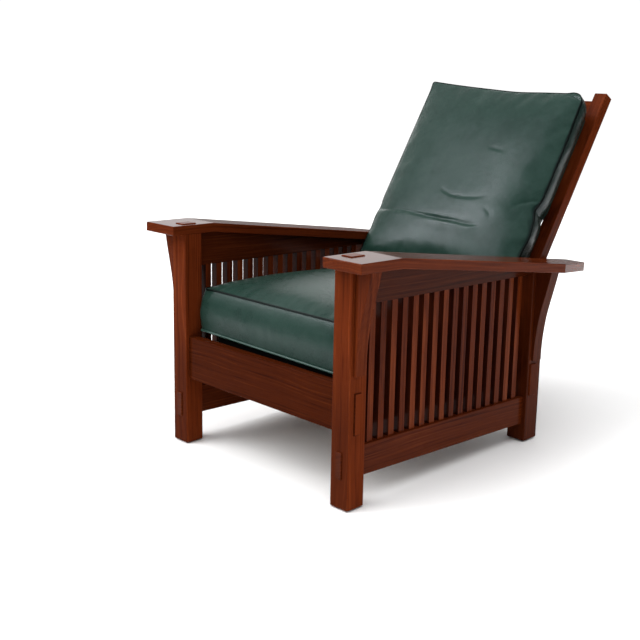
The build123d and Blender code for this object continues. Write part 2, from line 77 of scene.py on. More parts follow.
class Nodes:
    """Short way to write a material's node tree."""

    def __init__(self, name):
        self.mat = bpy.data.materials.new(name)
        self.mat.use_nodes = True
        self.t = self.mat.node_tree
        self.t.nodes.clear()
        self.out = self.t.nodes.new("ShaderNodeOutputMaterial")
        self.bsdf = self.t.nodes.new("ShaderNodeBsdfPrincipled")
        self.t.links.new(self.bsdf.outputs[0], self.out.inputs[0])

    def n(self, kind, **kw):
        nd = self.t.nodes.new(kind)
        for k, v in kw.items():
            setattr(nd, k, v)
        return nd

    def put(self, sock, v):
        if isinstance(v, bpy.types.NodeSocket):
            self.t.links.new(v, sock)
        elif v is not None:
            sock.default_value = v

    def math(self, op, a, b=None, c=None, clamp=False):
        nd = self.n("ShaderNodeMath", operation=op, use_clamp=clamp)
        for s, v in zip(nd.inputs, (a, b, c)):
            self.put(s, v)
        return nd.outputs[0]

    def vmath(self, op, a, b=None):
        nd = self.n("ShaderNodeVectorMath", operation=op)
        self.put(nd.inputs[0], a)
        if b is not None:
            self.put(nd.inputs[1], b)
        return nd.outputs[1] if op in ("DOT_PRODUCT", "LENGTH", "DISTANCE") else nd.outputs[0]

    def noise(self, vec, scale, detail=3.0, rough=0.5, dims="3D", w=None, dist=0.0):
        nd = self.n("ShaderNodeTexNoise", noise_dimensions=dims)
        if vec is not None and dims != "1D":
            self.put(nd.inputs["Vector"], vec)
        if w is not None:
            self.put(nd.inputs["W"], w)
        nd.inputs["Scale"].default_value = scale
        nd.inputs["Detail"].default_value = detail
        nd.inputs["Roughness"].default_value = rough
        nd.inputs["Distortion"].default_value = dist
        return nd.outputs["Fac"] if "Fac" in nd.outputs else nd.outputs[0]

    def ramp(self, fac, stops, interp="LINEAR"):
        nd = self.n("ShaderNodeValToRGB")
        nd.color_ramp.interpolation = interp
        cr = nd.color_ramp
        while len(cr.elements) < len(stops):
            cr.elements.new(0.5)
        for e, (p, c) in zip(cr.elements, stops):
            e.position = p
            e.color = (*c, 1) if len(c) == 3 else c
        self.put(nd.inputs[0], fac)
        return nd.outputs[0]

    def mix(self, fac, a, b, blend="MIX"):
        nd = self.n("ShaderNodeMix", data_type="RGBA", blend_type=blend)
        self.put(nd.inputs[0], fac)
        for s, v in ((nd.inputs[6], a), (nd.inputs[7], b)):
            if isinstance(v, tuple):
                v = (*v, 1) if len(v) == 3 else v
            self.put(s, v)
        return nd.outputs[2]

    def remap(self, v, a, b, c, d, smoothstep=False):
        nd = self.n("ShaderNodeMapRange")
        if smoothstep:
            nd.interpolation_type = "SMOOTHSTEP"
        self.put(nd.inputs[0], v)
        for s, x in zip(list(nd.inputs)[1:5], (a, b, c, d)):
            s.default_value = x
        return nd.outputs[0]

    def bump(self, h, strength, dist, normal=None):
        nd = self.n("ShaderNodeBump")
        nd.inputs["Strength"].default_value = strength
        nd.inputs["Distance"].default_value = dist
        self.put(nd.inputs["Height"], h)
        if normal is not None:
            self.put(nd.inputs["Normal"], normal)
        return nd.outputs[0]

    def xyz(self, vec):
        nd = self.n("ShaderNodeSeparateXYZ")
        self.put(nd.inputs[0], vec)
        return nd.outputs

    def join(self, x, y, z):
        nd = self.n("ShaderNodeCombineXYZ")
        for s, v in zip(nd.inputs, (x, y, z)):
            self.put(s, v)
        return nd.outputs[0]


# ------------------------------------------------------------------ wood
WOOD_DARK = (0.034, 0.0055, 0.0016)
WOOD_MID = (0.090, 0.0155, 0.0036)
WOOD_LITE = (0.150, 0.0300, 0.0074)


def wood(name, grain, seed, tone=1.0, tilt=0.0, cells=None, bent=False, red=1.0, end_dark=0.55, top_shade=0.0, foot=0.0, end_col=(0.052, 0.011, 0.0045), coat=1.095):
    """Stained, lacquered wood. grain is the axis that its fibres run along, in the chair's square frame."""
    rnd = random.Random(seed)
    m = Nodes(name)
    tc = m.n("ShaderNodeTexCoord")
    mp = m.n("ShaderNodeMapping")
    R = Matrix.Rotation(LEAN + tilt, 3, "X")
    mp.inputs["Rotation"].default_value = (LEAN + tilt, 0, 0)
    mp.inputs["Location"].default_value = -(R @ Vector((0, SHIFT, 0.003)))
    m.put(mp.inputs["Vector"], tc.outputs["Object"])
    x, y, z = m.xyz(mp.outputs[0])
    if bent:   # the fibres follow the arm's bend
        z = m.math("MULTIPLY_ADD", m.math("MAXIMUM", m.math("SUBTRACT", y, 0.096), 0.0), 0.1269, z)
    if grain == "Z":
        a, b, l = x, y, z
    elif grain == "Y":
        a, b, l = x, z, y
    else:
        a, b, l = y, z, x
    shade = None
    if cells:   # several pieces in one node: each gets its own board and shade
        start, pitch = cells
        idx = m.math("FLOOR", m.math("DIVIDE", m.math("SUBTRACT", y, start), pitch))
        wn = m.n("ShaderNodeTexWhiteNoise", noise_dimensions="1D")
        m.put(wn.inputs["W"], m.math("ADD", idx, seed * 3.7))
        shade = wn.outputs["Value"]
        l = m.math("MULTIPLY_ADD", shade, 7.0, l)
        a = m.math("MULTIPLY_ADD", shade, 0.9, a)
    pa, pb = rnd.uniform(0.02, 0.09) * rnd.choice((-1, 1)), rnd.uniform(0.03, 0.12) * rnd.choice((-1, 1))
    ctr = {"Z": (0.32, 0.0), "Y": (0.35, 0.4), "X": (0.0, 0.25)}[grain]
    off = rnd.uniform(0, 9)
    wob = m.noise(m.join(m.math("MULTIPLY", a, 5.0), m.math("MULTIPLY", b, 5.0), m.math("MULTIPLY_ADD", l, 2.2, off)), 1.0, 2.0)
    da = m.math("ADD", m.math("ABSOLUTE", a) if grain != "X" else a, -(ctr[0] + pa))
    db = m.math("ADD", b, -(ctr[1] + pb))
    r = m.math("SQRT", m.math("ADD", m.math("MULTIPLY", da, da), m.math("MULTIPLY", db, db)))
    r = m.math("MULTIPLY_ADD", wob, 0.035, r)
    rings = m.noise(None, 1.0, 2.5, 0.55, dims="1D", w=m.math("MULTIPLY_ADD", r, 150.0, off))
    fib = m.noise(m.join(m.math("MULTIPLY", a, 260.0), m.math("MULTIPLY", b, 260.0), m.math("MULTIPLY_ADD", l, 7.0, off)), 1.0, 4.0, 0.6)
    pores = m.noise(m.join(m.math("MULTIPLY", a, 1100.0), m.math("MULTIPLY", b, 1100.0), m.math("MULTIPLY_ADD", l, 45.0, off)), 1.0, 1.0)
    pore = m.remap(pores, 0.60, 0.72, 0.0, 1.0)
    blot = m.noise(m.join(m.math("MULTIPLY", a, 9.0), m.math("MULTIPLY", b, 9.0), m.math("MULTIPLY_ADD", l, 3.0, off)), 1.0, 2.0)
    f = m.math("ADD", m.math("MULTIPLY", rings, 0.36), m.math("MULTIPLY", fib, 0.34))
    f = m.math("ADD", f, m.math("MULTIPLY", blot, 0.30))
    if shade is not None:
        f = m.math("ADD", f, m.math("MULTIPLY", m.math("SUBTRACT", shade, 0.5), 0.17))
    k = tone
    c = lambda q: (min(q[0] * k * red, 1), q[1] * k, q[2] * k)
    col = m.ramp(f, [(0.33, c(WOOD_DARK)), (0.50, c(WOOD_MID)), (0.68, c(WOOD_LITE))], "EASE")
    col = m.mix(m.math("MULTIPLY", pore, 0.45), col, c(WOOD_DARK))
    # end grain drinks more stain
    nrm = m.vmath("DOT_PRODUCT", tc.outputs["Normal"], tuple(R.inverted() @ Vector({"X": (1, 0, 0), "Y": (0, 1, 0), "Z": (0, 0, 1)}[grain])))
    end = m.remap(m.math("ABSOLUTE", nrm), 0.80, 0.95, 0.0, end_dark, True)
    col = m.mix(end, col, c(end_col))
    if top_shade:   # the upward faces are painted darker than the sides, the level top a little darker still: painted shade
        up = m.vmath("DOT_PRODUCT", tc.outputs["Normal"], (0, 0, 1))
        top_shade_mix = m.math("ADD", m.remap(up, 0.85, 0.97, 0.0, top_shade, True), m.remap(up, 0.9965, 0.9985, 0.0, 0.13, True))
        col = m.mix(top_shade_mix, col, c((0.020, 0.0050, 0.0025)))
    if foot:   # the front face is painted darker towards the floor: painted shade
        face = m.remap(m.vmath("DOT_PRODUCT", tc.outputs["Normal"], tuple(R.inverted() @ Vector((0, -1, 0)))), 0.7, 0.9, 0.0, 1.0, True)
        low = m.remap(z, 0.16, 0.46, foot, 0.06, True)
        col = m.mix(m.math("MULTIPLY", face, low), col, c((0.012, 0.0024, 0.0012)))
    if cells:   # the slats' narrow faces, which face each other across the gaps, are painted darker: painted shade in the gaps
        edge = m.vmath("DOT_PRODUCT", tc.outputs["Normal"], tuple(R.inverted() @ Vector((0, 1, 0))))
        col = m.mix(m.remap(m.math("ABSOLUTE", edge), 0.7, 0.9, 0.0, 0.80, True), col, c((0.018, 0.0034, 0.0018)))
    m.put(m.bsdf.inputs["Base Color"], col)
    rough = m.math("ADD", m.math("MULTIPLY", fib, 0.12), m.math("MULTIPLY_ADD", blot, 0.10, 0.26))
    m.put(m.bsdf.inputs["Roughness"], rough)
    m.bsdf.inputs["Specular IOR Level"].default_value = 0.0
    m.bsdf.inputs["Coat Weight"].default_value = 1.0
    m.bsdf.inputs["Coat IOR"].default_value = coat
    m.bsdf.inputs["Coat Roughness"].default_value = 0.17
    h = m.math("ADD", m.math("MULTIPLY", fib, 0.5), m.math("MULTIPLY", pore, -0.8))
    m.put(m.bsdf.inputs["Normal"], m.bump(h, 0.25, 0.0004))
    return m.mat


def plain_wood(name, grain, seed):
    m = Nodes(name)
    tc = m.n("ShaderNodeTexCoord")
    s = {"X": (0.05, 1, 1), "Y": (1, 0.05, 1), "Z": (1, 1, 0.05)}[grain]
    mp = m.n("ShaderNodeMapping")
    mp.inputs["Scale"].default_value = s
    mp.inputs["Location"].default_value = (seed * 1.3, seed * 0.7, seed * 2.1)
    m.put(mp.inputs[0], tc.outputs["Object"])
    f = m.noise(mp.outputs[0], 90, 4, 0.6)
    m.put(m.bsdf.inputs["Base Color"], m.ramp(f, [(0.3, (0.20, 0.11, 0.055)), (0.7, (0.40, 0.25, 0.14))]))
    m.put(m.bsdf.inputs["Roughness"], m.remap(f, 0, 1, 0.55, 0.75))
    m.put(m.bsdf.inputs["Normal"], m.bump(f, 0.3, 0.0005))
    return m.mat


def simple(name, col, rough, metal=0.0, scale=400.0, var=0.15, bump=0.1):
    m = Nodes(name)
    tc = m.n("ShaderNodeTexCoord")
    f = m.noise(tc.outputs["Object"], scale, 3, 0.6)
    dark = tuple(c * (1 - var) for c in col)
    lite = tuple(min(1, c * (1 + var)) for c in col)
    m.put(m.bsdf.inputs["Base Color"], m.ramp(f, [(0.3, dark), (0.7, lite)]))
    m.put(m.bsdf.inputs["Roughness"], m.remap(f, 0, 1, rough * 0.85, rough * 1.15))
    m.bsdf.inputs["Metallic"].default_value = metal
    m.put(m.bsdf.inputs["Normal"], m.bump(f, bump, 0.0003))
    return m.mat


def woven(name, col, pitch):
    """Plain weave, from two sine waves across each other."""
    m = Nodes(name)
    tc = m.n("ShaderNodeTexCoord")
    x, y, z = m.xyz(tc.outputs["Object"])
    k = 2 * math.pi / pitch
    a = m.math("SINE", m.math("MULTIPLY", x, k))
    b = m.math("SINE", m.math("MULTIPLY", m.math("ADD", y, z), k))
    h = m.math("MULTIPLY", a, b)
    f = m.noise(tc.outputs["Object"], 60, 3)
    c = m.math("ADD", m.math("MULTIPLY", h, 0.25), f)
    m.put(m.bsdf.inputs["Base Color"], m.ramp(c, [(0.2, tuple(v * 0.6 for v in col)), (0.8, tuple(v * 1.3 for v in col))]))
    m.bsdf.inputs["Roughness"].default_value = 0.95
    m.bsdf.inputs["Specular IOR Level"].default_value = 0.1
    m.put(m.bsdf.inputs["Normal"], m.bump(h, 0.5, 0.0006))
    return m.mat


def leather(name, tone=1.0, spec=0.25, rough=0.205, side_shade=0.0):
    m = Nodes(name)
    tc = m.n("ShaderNodeTexCoord")
    P = tc.outputs["Object"]
    wob = m.n("ShaderNodeTexNoise")
    m.put(wob.inputs["Vector"], P)
    wob.inputs["Scale"].default_value = 260
    vec = m.vmath("ADD", P, m.vmath("SCALE", wob.outputs["Color"]))
    sc_nd = vec.node.inputs[1].links[0].from_node
    sc_nd.inputs["Scale"].default_value = 0.0011
    vor = m.n("ShaderNodeTexVoronoi", feature="DISTANCE_TO_EDGE")
    m.put(vor.inputs["Vector"], vec)
    vor.inputs["Scale"].default_value = 520
    cell = m.remap(vor.outputs["Distance"], 0.0, 0.16, 0.0, 1.0, True)
    fine = m.noise(P, 1500, 2, 0.6)
    mid = m.noise(P, 34, 4, 0.6)
    big = m.noise(P, 6.5, 3, 0.55)
    vein = m.noise(P, 14, 5, 0.7, dist=1.6)
    vein = m.remap(m.math("ABSOLUTE", m.math("SUBTRACT", vein, 0.5)), 0.0, 0.025, 1.0, 0.0, True)
    f = m.math("ADD", m.math("MULTIPLY", mid, 0.4), m.math("MULTIPLY", big, 0.6))
    k = tone
    col = m.ramp(f, [(0.36, (0.0096 * k, 0.0278 * k, 0.0208 * k)), (0.50, (0.0128 * k, 0.0345 * k, 0.0262 * k)), (0.64, (0.0172 * k, 0.0418 * k, 0.0325 * k))])
    col = m.mix(m.math("MULTIPLY", vein, 0.10), col, (0.042 * k, 0.080 * k, 0.070 * k))
    col = m.mix(m.math("MULTIPLY", m.math("SUBTRACT", 1.0, cell), 0.30), col, (0.009 * k, 0.024 * k, 0.019 * k))
    if side_shade:   # the side strips, where they face sideways, are painted darker: painted shade
        side = m.math("ABSOLUTE", m.vmath("DOT_PRODUCT", tc.outputs["Normal"], (1, 0, 0)))
        col = m.mix(m.remap(side, 0.50, 0.80, 0.0, side_shade, True), col, (0.0024 * k, 0.0085 * k, 0.0072 * k))
    m.put(m.bsdf.inputs["Base Color"], col)
    m.put(m.bsdf.inputs["Roughness"], m.math("ADD", m.remap(f, 0.3, 0.7, rough - 0.03, rough + 0.03), m.math("MULTIPLY", m.math("SUBTRACT", 1.0, cell), 0.08)))
    m.bsdf.inputs["Specular IOR Level"].default_value = spec
    m.bsdf.inputs["Specular Tint"].default_value = (0.88, 0.91, 1.0, 1)
    h = m.math("ADD", m.math("MULTIPLY", cell, 0.7), m.math("MULTIPLY", fine, 0.3))
    n1 = m.bump(h, 0.25, 0.00035)
    m.put(m.bsdf.inputs["Normal"], m.bump(m.math("ADD", mid, m.math("MULTIPLY", vein, 0.10)), 0.12, 0.004, n1))
    return m.mat


def dress(node, mat):
    o = N[node]
    o.data.materials.clear()
    o.data.materials.append(mat)


PITCH, SLAT_START, SLAT_W = 0.03755, 0.0812, 0.019
# the tones given to the pieces below are partly painted light and shade: the front legs are painted lighter, and the
# rear legs, rear corbels and upper side rails (in the arms' shade) darker, than their stain alone would be
for side, k in (("left", 0), ("right", 40)):
    dress("front_leg_" + side, wood("wood_front_leg_" + side, "Z", 61 + k, 1.32, foot=0.56, coat=1.06))
    dress("rear_leg_" + side, wood("wood_rear_leg_" + side, "Z", 12 + k, 0.70, coat=1.12))
    dress("front_corbel_" + side, wood("wood_front_corbel_" + side, "Z", 13 + k, 1.12))
    dress("rear_corbel_" + side, wood("wood_rear_corbel_" + side, "Z", 14 + k, 0.64, coat=1.14))
    dress("side_lower_rail_" + side, wood("wood_lower_rail_" + side, "Y", 15 + k, 0.82, coat=1.115))
    dress("side_upper_rail_" + side, wood("wood_upper_rail_" + side, "Y", 16 + k, 0.56, coat=1.135))
    dress("side_slats_" + side, wood("wood_slats_" + side, "Z", 17 + k, 1.05, coat=1.12, cells=(SLAT_START + SLAT_W / 2 - PITCH / 2, PITCH)))
    dress("arm_" + side, wood("wood_arm_" + side, "Y", 18 + k, 1.10, bent=True, end_dark=0.05, top_shade=0.40, coat=1.135))
    dress("inner_side_rail_" + side, wood("wood_inner_rail_" + side, "Y", 19 + k, 0.7))
    dress("back_stile_" + side, wood("wood_stile_" + side, "Z", 20 + k, 1.08, coat=1.14, tilt=math.radians(31.21)))
    dress("adjusting_peg_" + side, wood("wood_peg_" + side, "X", 21 + k, 0.9))
    dress("seat_frame_side_" + side, plain_wood("plain_side_" + side, "Y", 3 + k))
    dress("side_cleat_" + side, plain_wood("plain_cleat_" + side, "Y", 5 + k))
# the front rail is painted darker (tone 0.50): painted shade
dress("front_rail", wood("wood_front_rail", "X", 31, 0.50, end_dark=0.92, end_col=(0.27, 0.048, 0.0115), coat=1.055))
dress("rear_rail", wood("wood_rear_rail", "X", 32, 0.95))
dress("seat_cross_rail", wood("wood_cross_rail", "X", 33, 0.75))
dress("back_top_rail", wood("wood_back_top", "X", 34, 0.95, tilt=math.radians(31.21)))
dress("back_bottom_rail", wood("wood_back_bottom", "X", 35, 0.9, tilt=math.radians(31.21)))
dress("back_slats", wood("wood_back_slats", "X", 36, 0.95, tilt=math.radians(31.21)))
dress("seat_frame_front", plain_wood("plain_front", "X", 1))
dress("seat_frame_rear", plain_wood("plain_rear", "X", 2))
dress("front_cleat", plain_wood("plain_front_cleat", "X", 4))
steel = simple("zinc_plated_steel", (0.52, 0.52, 0.53), 0.35, 1.0)
dress("pivot_pin_left", steel)
dress("pivot_pin_right", steel)
dress("cleat_screws", steel)
dress("pivot_washers", simple("nylon_washer", (0.70, 0.69, 0.64), 0.5))
dress("foot_glides", simple("nylon_glide", (0.06, 0.05, 0.045), 0.5))
dress("seat_webbing", woven("webbing", (0.16, 0.12, 0.08), 0.003))

LEATHER = leather("green_leather", side_shade=0.62)
SEAT_LEATHER = leather("green_leather_seat", 1.0, 0.19, 0.28)
# the seat's top welt is painted dark (painted shade), its bottom welt painted light (painted highlight), and the back's
# front welt painted dark (painted shade)
PIPING = {
    "seat_piping_bottom": leather("green_leather_welt_painted_highlight", 1.7, 0.5, 0.34),
    "seat_piping_top": leather("green_leather_welt_painted_shade", 0.16, 0.12, 0.45),
    "back_piping_rear": leather("green_leather_welt_rear", 0.8),
    "back_piping_front": leather("green_leather_welt_front_painted_shade", 0.10, 0.08),
}


# ------------------------------------------------------------------ boxed cushions
def spread(i, n, k):
    """Grid coordinate from -1 to 1, closer together at both ends."""
    u = 2 * i / n - 1
    return (1 - k) * u + k * math.sin(u * math.pi / 2)


def boxed(name, hx, hy, rc, nx, ny, nt, shape, dense=0.45):
    """Closed boxed cushion as one grid: bottom panel, boxing and top panel.
    rc gives the corner radii: (-x -y), (+x -y), (+x +y), (-x +y).
    shape(kind, x, y, t) returns the point for a place on the outline or panel and a boxing height t.
    Returns the object and its rows: row 0 is the bottom welt, the last row is the top welt."""
    def plan(i, j):
        x, y = hx * spread(i, nx, dense), hy * spread(j, ny, dense)
        r = rc[0 if x < 0 and y < 0 else 1 if y < 0 else 2 if x > 0 else 3]
        ax, ay = abs(x) - (hx - r), abs(y) - (hy - r)
        if ax > 0 and ay > 0:
            d = math.hypot(ax, ay)
            s = max(ax, ay) / d
            x = math.copysign(hx - r + ax * s, x)
            y = math.copysign(hy - r + ay * s, y)
        return x, y

    verts, top, bot = [], {}, {}
    for grid, kind, t in ((top, "top", 1.0), (bot, "bottom", 0.0)):
        for i in range(nx + 1):
            for j in range(ny + 1):
                x, y = plan(i, j)
                grid[i, j] = len(verts)
                verts.append(shape(kind, x, y, t))
    loop = [(i, 0) for i in range(nx)] + [(nx, j) for j in range(ny)] + \
           [(i, ny) for i in range(nx, 0, -1)] + [(0, j) for j in range(ny, 0, -1)]
    n = len(loop)
    rows = [[bot[q] for q in loop]]
    for k in range(1, nt):
        row = []
        for q in loop:
            x, y = plan(*q)
            row.append(len(verts))
            verts.append(shape("boxing", x, y, k / nt))
        rows.append(row)
    rows.append([top[q] for q in loop])
    faces = []
    for i in range(nx):
        for j in range(ny):
            faces.append((top[i, j], top[i + 1, j], top[i + 1, j + 1], top[i, j + 1]))
            faces.append((bot[i, j], bot[i, j + 1], bot[i + 1, j + 1], bot[i + 1, j]))
    for k in range(nt):
        for a in range(n):
            b = (a + 1) % n
            faces.append((rows[k][a], rows[k][b], rows[k + 1][b], rows[k + 1][a]))
    return new_obj(name, verts, faces), rows, top, bot


def inflate(o, pins, frames, pressure, cap, shrink=-0.02, bend=2.0):
    """Cloth with inner pressure, its result applied to the mesh. pins: vertex index to weight."""
    me = o.data
    start = np.array([v.co[:] for v in me.vertices])
    g = o.vertex_groups.new(name="pin")
    for i, w in pins.items():
        g.add([i], w, "REPLACE")
    md = o.modifiers.new("cloth", "CLOTH")
    s = md.settings
    s.quality = 6
    s.mass = 0.35
    s.tension_stiffness = s.compression_stiffness = 22
    s.shear_stiffness = 8
    s.bending_stiffness = bend
    s.tension_damping = s.compression_damping = 12
    s.shear_damping = 8
    s.air_damping = 2
    s.use_pressure = True
    s.uniform_pressure_force = pressure
    s.shrink_min = shrink
    s.vertex_group_mass = "pin"
    s.effector_weights.gravity = 0
    md.collision_settings.use_collision = False
    md.point_cache.frame_start = 1
    md.point_cache.frame_end = frames
    sc.frame_start, sc.frame_end = 1, frames
    for f in range(1, frames + 1):
        sc.frame_set(f)
    dg = bpy.context.evaluated_depsgraph_get()
    ev = o.evaluated_get(dg).to_mesh()
    end = np.array([v.co[:] for v in ev.vertices])
    o.evaluated_get(dg).to_mesh_clear()
    o.modifiers.remove(md)
    o.vertex_groups.remove(g)
    d = end - start
    L = np.linalg.norm(d, axis=1)
    lim = cap * np.tanh(L / cap)
    k = np.where(L > 1e-9, lim / np.maximum(L, 1e-9), 0)
    out = start + d * k[:, None]
    me.vertices.foreach_set("co", out.ravel())
    me.update()
    sc.frame_set(1)
    print(o.name, "cloth moved", round(float(L.max()) * 1000, 1), "mm, mean", round(float(L.mean()) * 1000, 2))


def tube(name, pts, r, closed=True, seg=8, mat=None):
    """Round cord along points, as a mesh."""
    pts = [Vector(p) for p in pts]
    n = len(pts)
    verts, faces = [], []
    prev = None
    for i, p in enumerate(pts):
        a = pts[(i - 1) % n] if closed or i else p
        b = pts[(i + 1) % n] if closed or i < n - 1 else p
        t = (b - a).normalized()
        if prev is None:
            u = t.orthogonal().normalized()
        else:
            u = (prev - t * prev.dot(t)).normalized()
        prev = u
        v = t.cross(u)
        for k in range(seg):
            w = 2 * math.pi * k / seg
            verts.append(p + (u * math.cos(w) + v * math.sin(w)) * (r[i] if isinstance(r, list) else r))
    m = n if closed else n - 1
    # the closing twist is spread by matching the nearest start vertex
    shift = 0
    if closed:
        last = [verts[(n - 1) * seg + k] for k in range(seg)]
        first = [verts[k] for k in range(seg)]
        shift = min(range(seg), key=lambda s: sum((last[k] - first[(k + s) % seg]).length for k in range(seg)))
    for i in range(m):
        j = (i + 1) % n
        s = shift if (closed and i == n - 1) else 0
        for k in range(seg):
            faces.append((i * seg + k, i * seg + (k + 1) % seg, j * seg + (k + 1 + s) % seg, j * seg + (k + s) % seg))
    if not closed:
        faces.append(tuple(range(seg - 1, -1, -1)))
        faces.append(tuple((n - 1) * seg + k for k in range(seg)))
    o = new_obj(name, verts, faces)
    smooth(o)
    if mat:
        o.data.materials.append(mat)
    return o


def finish_soft(o, levels=1):
    if levels:
        md = o.modifiers.new("sub", "SUBSURF")
        md.levels = md.render_levels = levels
        dg = bpy.context.evaluated_depsgraph_get()
        me = bpy.data.meshes.new_from_object(o.evaluated_get(dg))
        o.modifiers.remove(md)
        old = o.data
        o.data = me
        bpy.data.meshes.remove(old)
    smooth(o)


def crown(X, Y, p=2.6, q=0.75):
    return max(0.0, (1 - abs(X) ** p)) ** q * max(0.0, (1 - abs(Y) ** p)) ** q


def bell(d, w):
    return math.exp(-(d / w) ** 2)


def ss(a, b, v):
    t = min(1.0, max(0.0, (v - a) / (b - a)))
    return t * t * (3 - 2 * t)


def outward(X, Y, k=9):
    """Direction out of the outline in plan, for normalised outline coordinates."""
    n = Vector((math.copysign(abs(X) ** k, X), math.copysign(abs(Y) ** k, Y), 0))
    return n.normalized() if n.length > 1e-6 else n


def pucker(a, d, amp, freq, reach, seed):
    """Small gathers that run in from a seam: a along it, d away from it."""
    w = noise.noise(Vector((a * freq, d * 6.0, seed))) + 0.5 * noise.noise(Vector((a * freq * 2.3, d * 9.0, seed + 7)))
    return amp * w * math.exp(-(d / reach) ** 1.5) * (1 - math.exp(-(d / 0.004) ** 2))


# ---- seat cushion: x, depth from the front, height over its underside
SEAT_HX, SEAT_HY, SEAT_Y0, SEAT_T, SEAT_CROWN = 0.2850, 0.3030, 0.0030, 0.1265, 0.0465
WELT = 0.0012                                # the bottom welt's height


def seat_shape(kind, x, y, t):
    X, Y = x / SEAT_HX, y / SEAT_HY
    front, rear = max(0.0, -Y), max(0.0, Y)
    lift = 0.0088 * (1 - X) / 2 * ss(0.55, 1.0, front) * (1 - t)       # the front left corner's welt rides up
    low = WELT + lift
    square = bell(1 - abs(X), 0.07) * bell(1 - abs(Y), 0.07) * (1 - t) ** 0.5   # corners are squarer low down
    x += math.copysign(0.0060 * square, x)
    y += math.copysign(0.0050 * square, y)
    edge = max(abs(X), abs(Y))
    hi = SEAT_T - 0.0035 * bell(1 - abs(X), 0.12) * bell(1 - abs(Y), 0.12)
    if kind == "top":
        z = hi + SEAT_CROWN * crown(X, Y, 2.1, 0.52)
        z -= 0.0035 * bell(x - 0.03, 0.16) * bell(Y + 0.05, 0.5)        # sat in, a little
        y += 0.016 * rear ** 3
        dx, dy = SEAT_HX - abs(x), SEAT_HY - abs(Y) * SEAT_HY
        z += pucker(x, dy, 0.0016, 22, 0.045, 3.0) + pucker(y, dx, 0.0016, 20, 0.045, 9.0)
    elif kind == "bottom":
        z = low * ss(0.90, 1.0, edge)
        y -= 0.012 * rear ** 3 + 0.0055 * front ** 6
    else:
        z = low + t * (hi - low)
        y += (0.028 * t - 0.012) * rear ** 3
        n = outward(X, Y)
        b = math.sin(math.pi * t ** 0.92)
        u = 1 - t                                                      # the front bulges most in its upper half
        f = 0.0150 * (1 - (1 - min(1.0, u / 0.55)) ** 2.2) - 0.0095 * ss(0.5, 1.0, u)
        out = Vector((n.x * 0.0045 * b, n.y * (f if y < 0 else 0.005 * b), 0))
        wrinkle = 0.0011 * noise.noise(Vector((x * 16, y * 16, t * 2.2))) + 0.0007 * noise.noise(Vector((x * 45, y * 45, t * 3)))
        out += n * wrinkle * b
        return Vector((x, y + SEAT_HY + SEAT_Y0, z)) + out
    return Vector((x, y + SEAT_HY + SEAT_Y0, z))


# ---- back cushion: x, height up the back from its pivot, thickness forward of the back's slats
BC_N0, BC_HX, BC_HS = 0.0170, 0.2920, 0.3085
BC_S0 = 0.2040


def right_edge(s):
    """The right front welt's x at a height up the back: it is pinched in a little above the lower fold."""
    return 0.2835 + 0.0065 * bell(s - 0.350, 0.030) - 0.0110 * bell(s - 0.434, 0.022) - 0.0045 * ss(0.62, 0.79, s)


def back_outline(x, y):
    """Rounded rectangle, centred, to the cushion's real front outline: x, height up the back."""
    X, Y = x / BC_HX, y / BC_HS
    s = BC_S0 + (Y + 1) / 2 * 0.602
    xl = -0.2885 - 0.0100 * ss(0.29, 0.36, s) + 0.0040 * bell(s - 0.372, 0.020)
    xr = right_edge(s)
    px = xl + (X + 1) / 2 * (xr - xl)
    top = 0.8050 + 0.0235 * max(0.0, (0.06 - px) / 0.35) ** 1.5 + 0.0030 * bell(px - 0.240, 0.014) - 0.002 * bell(px - 0.05, 0.08)
    bottom = BC_S0 + 0.006 * (1 - X * X)
    ps = bottom + (Y + 1) / 2 * (top - bottom)
    ear = math.exp(-(((1 + X) * BC_HX) ** 2 + ((1 - Y) * BC_HS) ** 2) / 0.022 ** 2)
    return px - 0.004 * ear, ps


def back_rear_inset(s, X):
    """How far the rear welt lies inside the front one: the rear edge on the right is almost straight."""
    return right_edge(s) - 0.2480 + 0.0085 * bell(s - 0.432, 0.022) if X > 0 else 0.030


def welt_height(X, s):
    return 0.0890 + 0.0110 * ss(0.2, -1.0, X) * ss(0.40, 0.26, s) + 0.002 * (1 - X) / 2


def back_shape(kind, x, y, t):
    X, Y = x / BC_HX, y / BC_HS
    px, ps = back_outline(x, y)
    T = welt_height(X, ps)
    if kind == "top":
        top = max(0.0, Y)
        belly = 0.0360 + 0.0070 * bell(ps - 0.33, 0.13) - 0.004 * top ** 2
        z = T + belly * crown(X, 0, 2.3, 0.52) * max(0.0, 1 - abs(Y) ** 2.8) ** 0.52
        dx, dy = BC_HX - abs(x), BC_HS - abs(Y) * BC_HS
        k = 1.0 if Y > 0 else 0.0
        z += pucker(x + 0.35 * dy, dy, 0.0024 * k, 21, 0.040, 5.0) + pucker(y, dx, 0.0018, 18, 0.035, 11.0)
        return Vector((px, ps, z))
    inset = back_rear_inset(ps, X)
    n = outward(X, Y)
    if kind == "bottom":
        k = max(abs(X), abs(Y))
        q = Vector((px - X * inset, ps - Y * 0.020, 0))
        q.z = 0.004 * ss(0.85, 1.0, k)
        return q
    curl = (1 - t) ** 1.7
    out = (0.0055 if n.x < 0.3 else 0.0030) * math.sin(math.pi * t)
    wr = 0.0014 * noise.noise(Vector((x * 20, y * 20, t * 2.5)))
    q = Vector((px - X * abs(n.x) * inset * curl, ps - Y * abs(n.y) * 0.020 * curl, 0.004 + t * (T - 0.004)))
    if abs(n.x) > 0.05 and abs(n.y) > 0.05:
        q = Vector((px - X * inset * curl, ps - Y * 0.020 * curl, q.z))
    return q + n * (out + wr)


def to_back(v):
    """cushion's own axes to MB's: x, minus forward, up the back."""
    return Vector((v.x, -(BC_N0 + v.z), v.y))


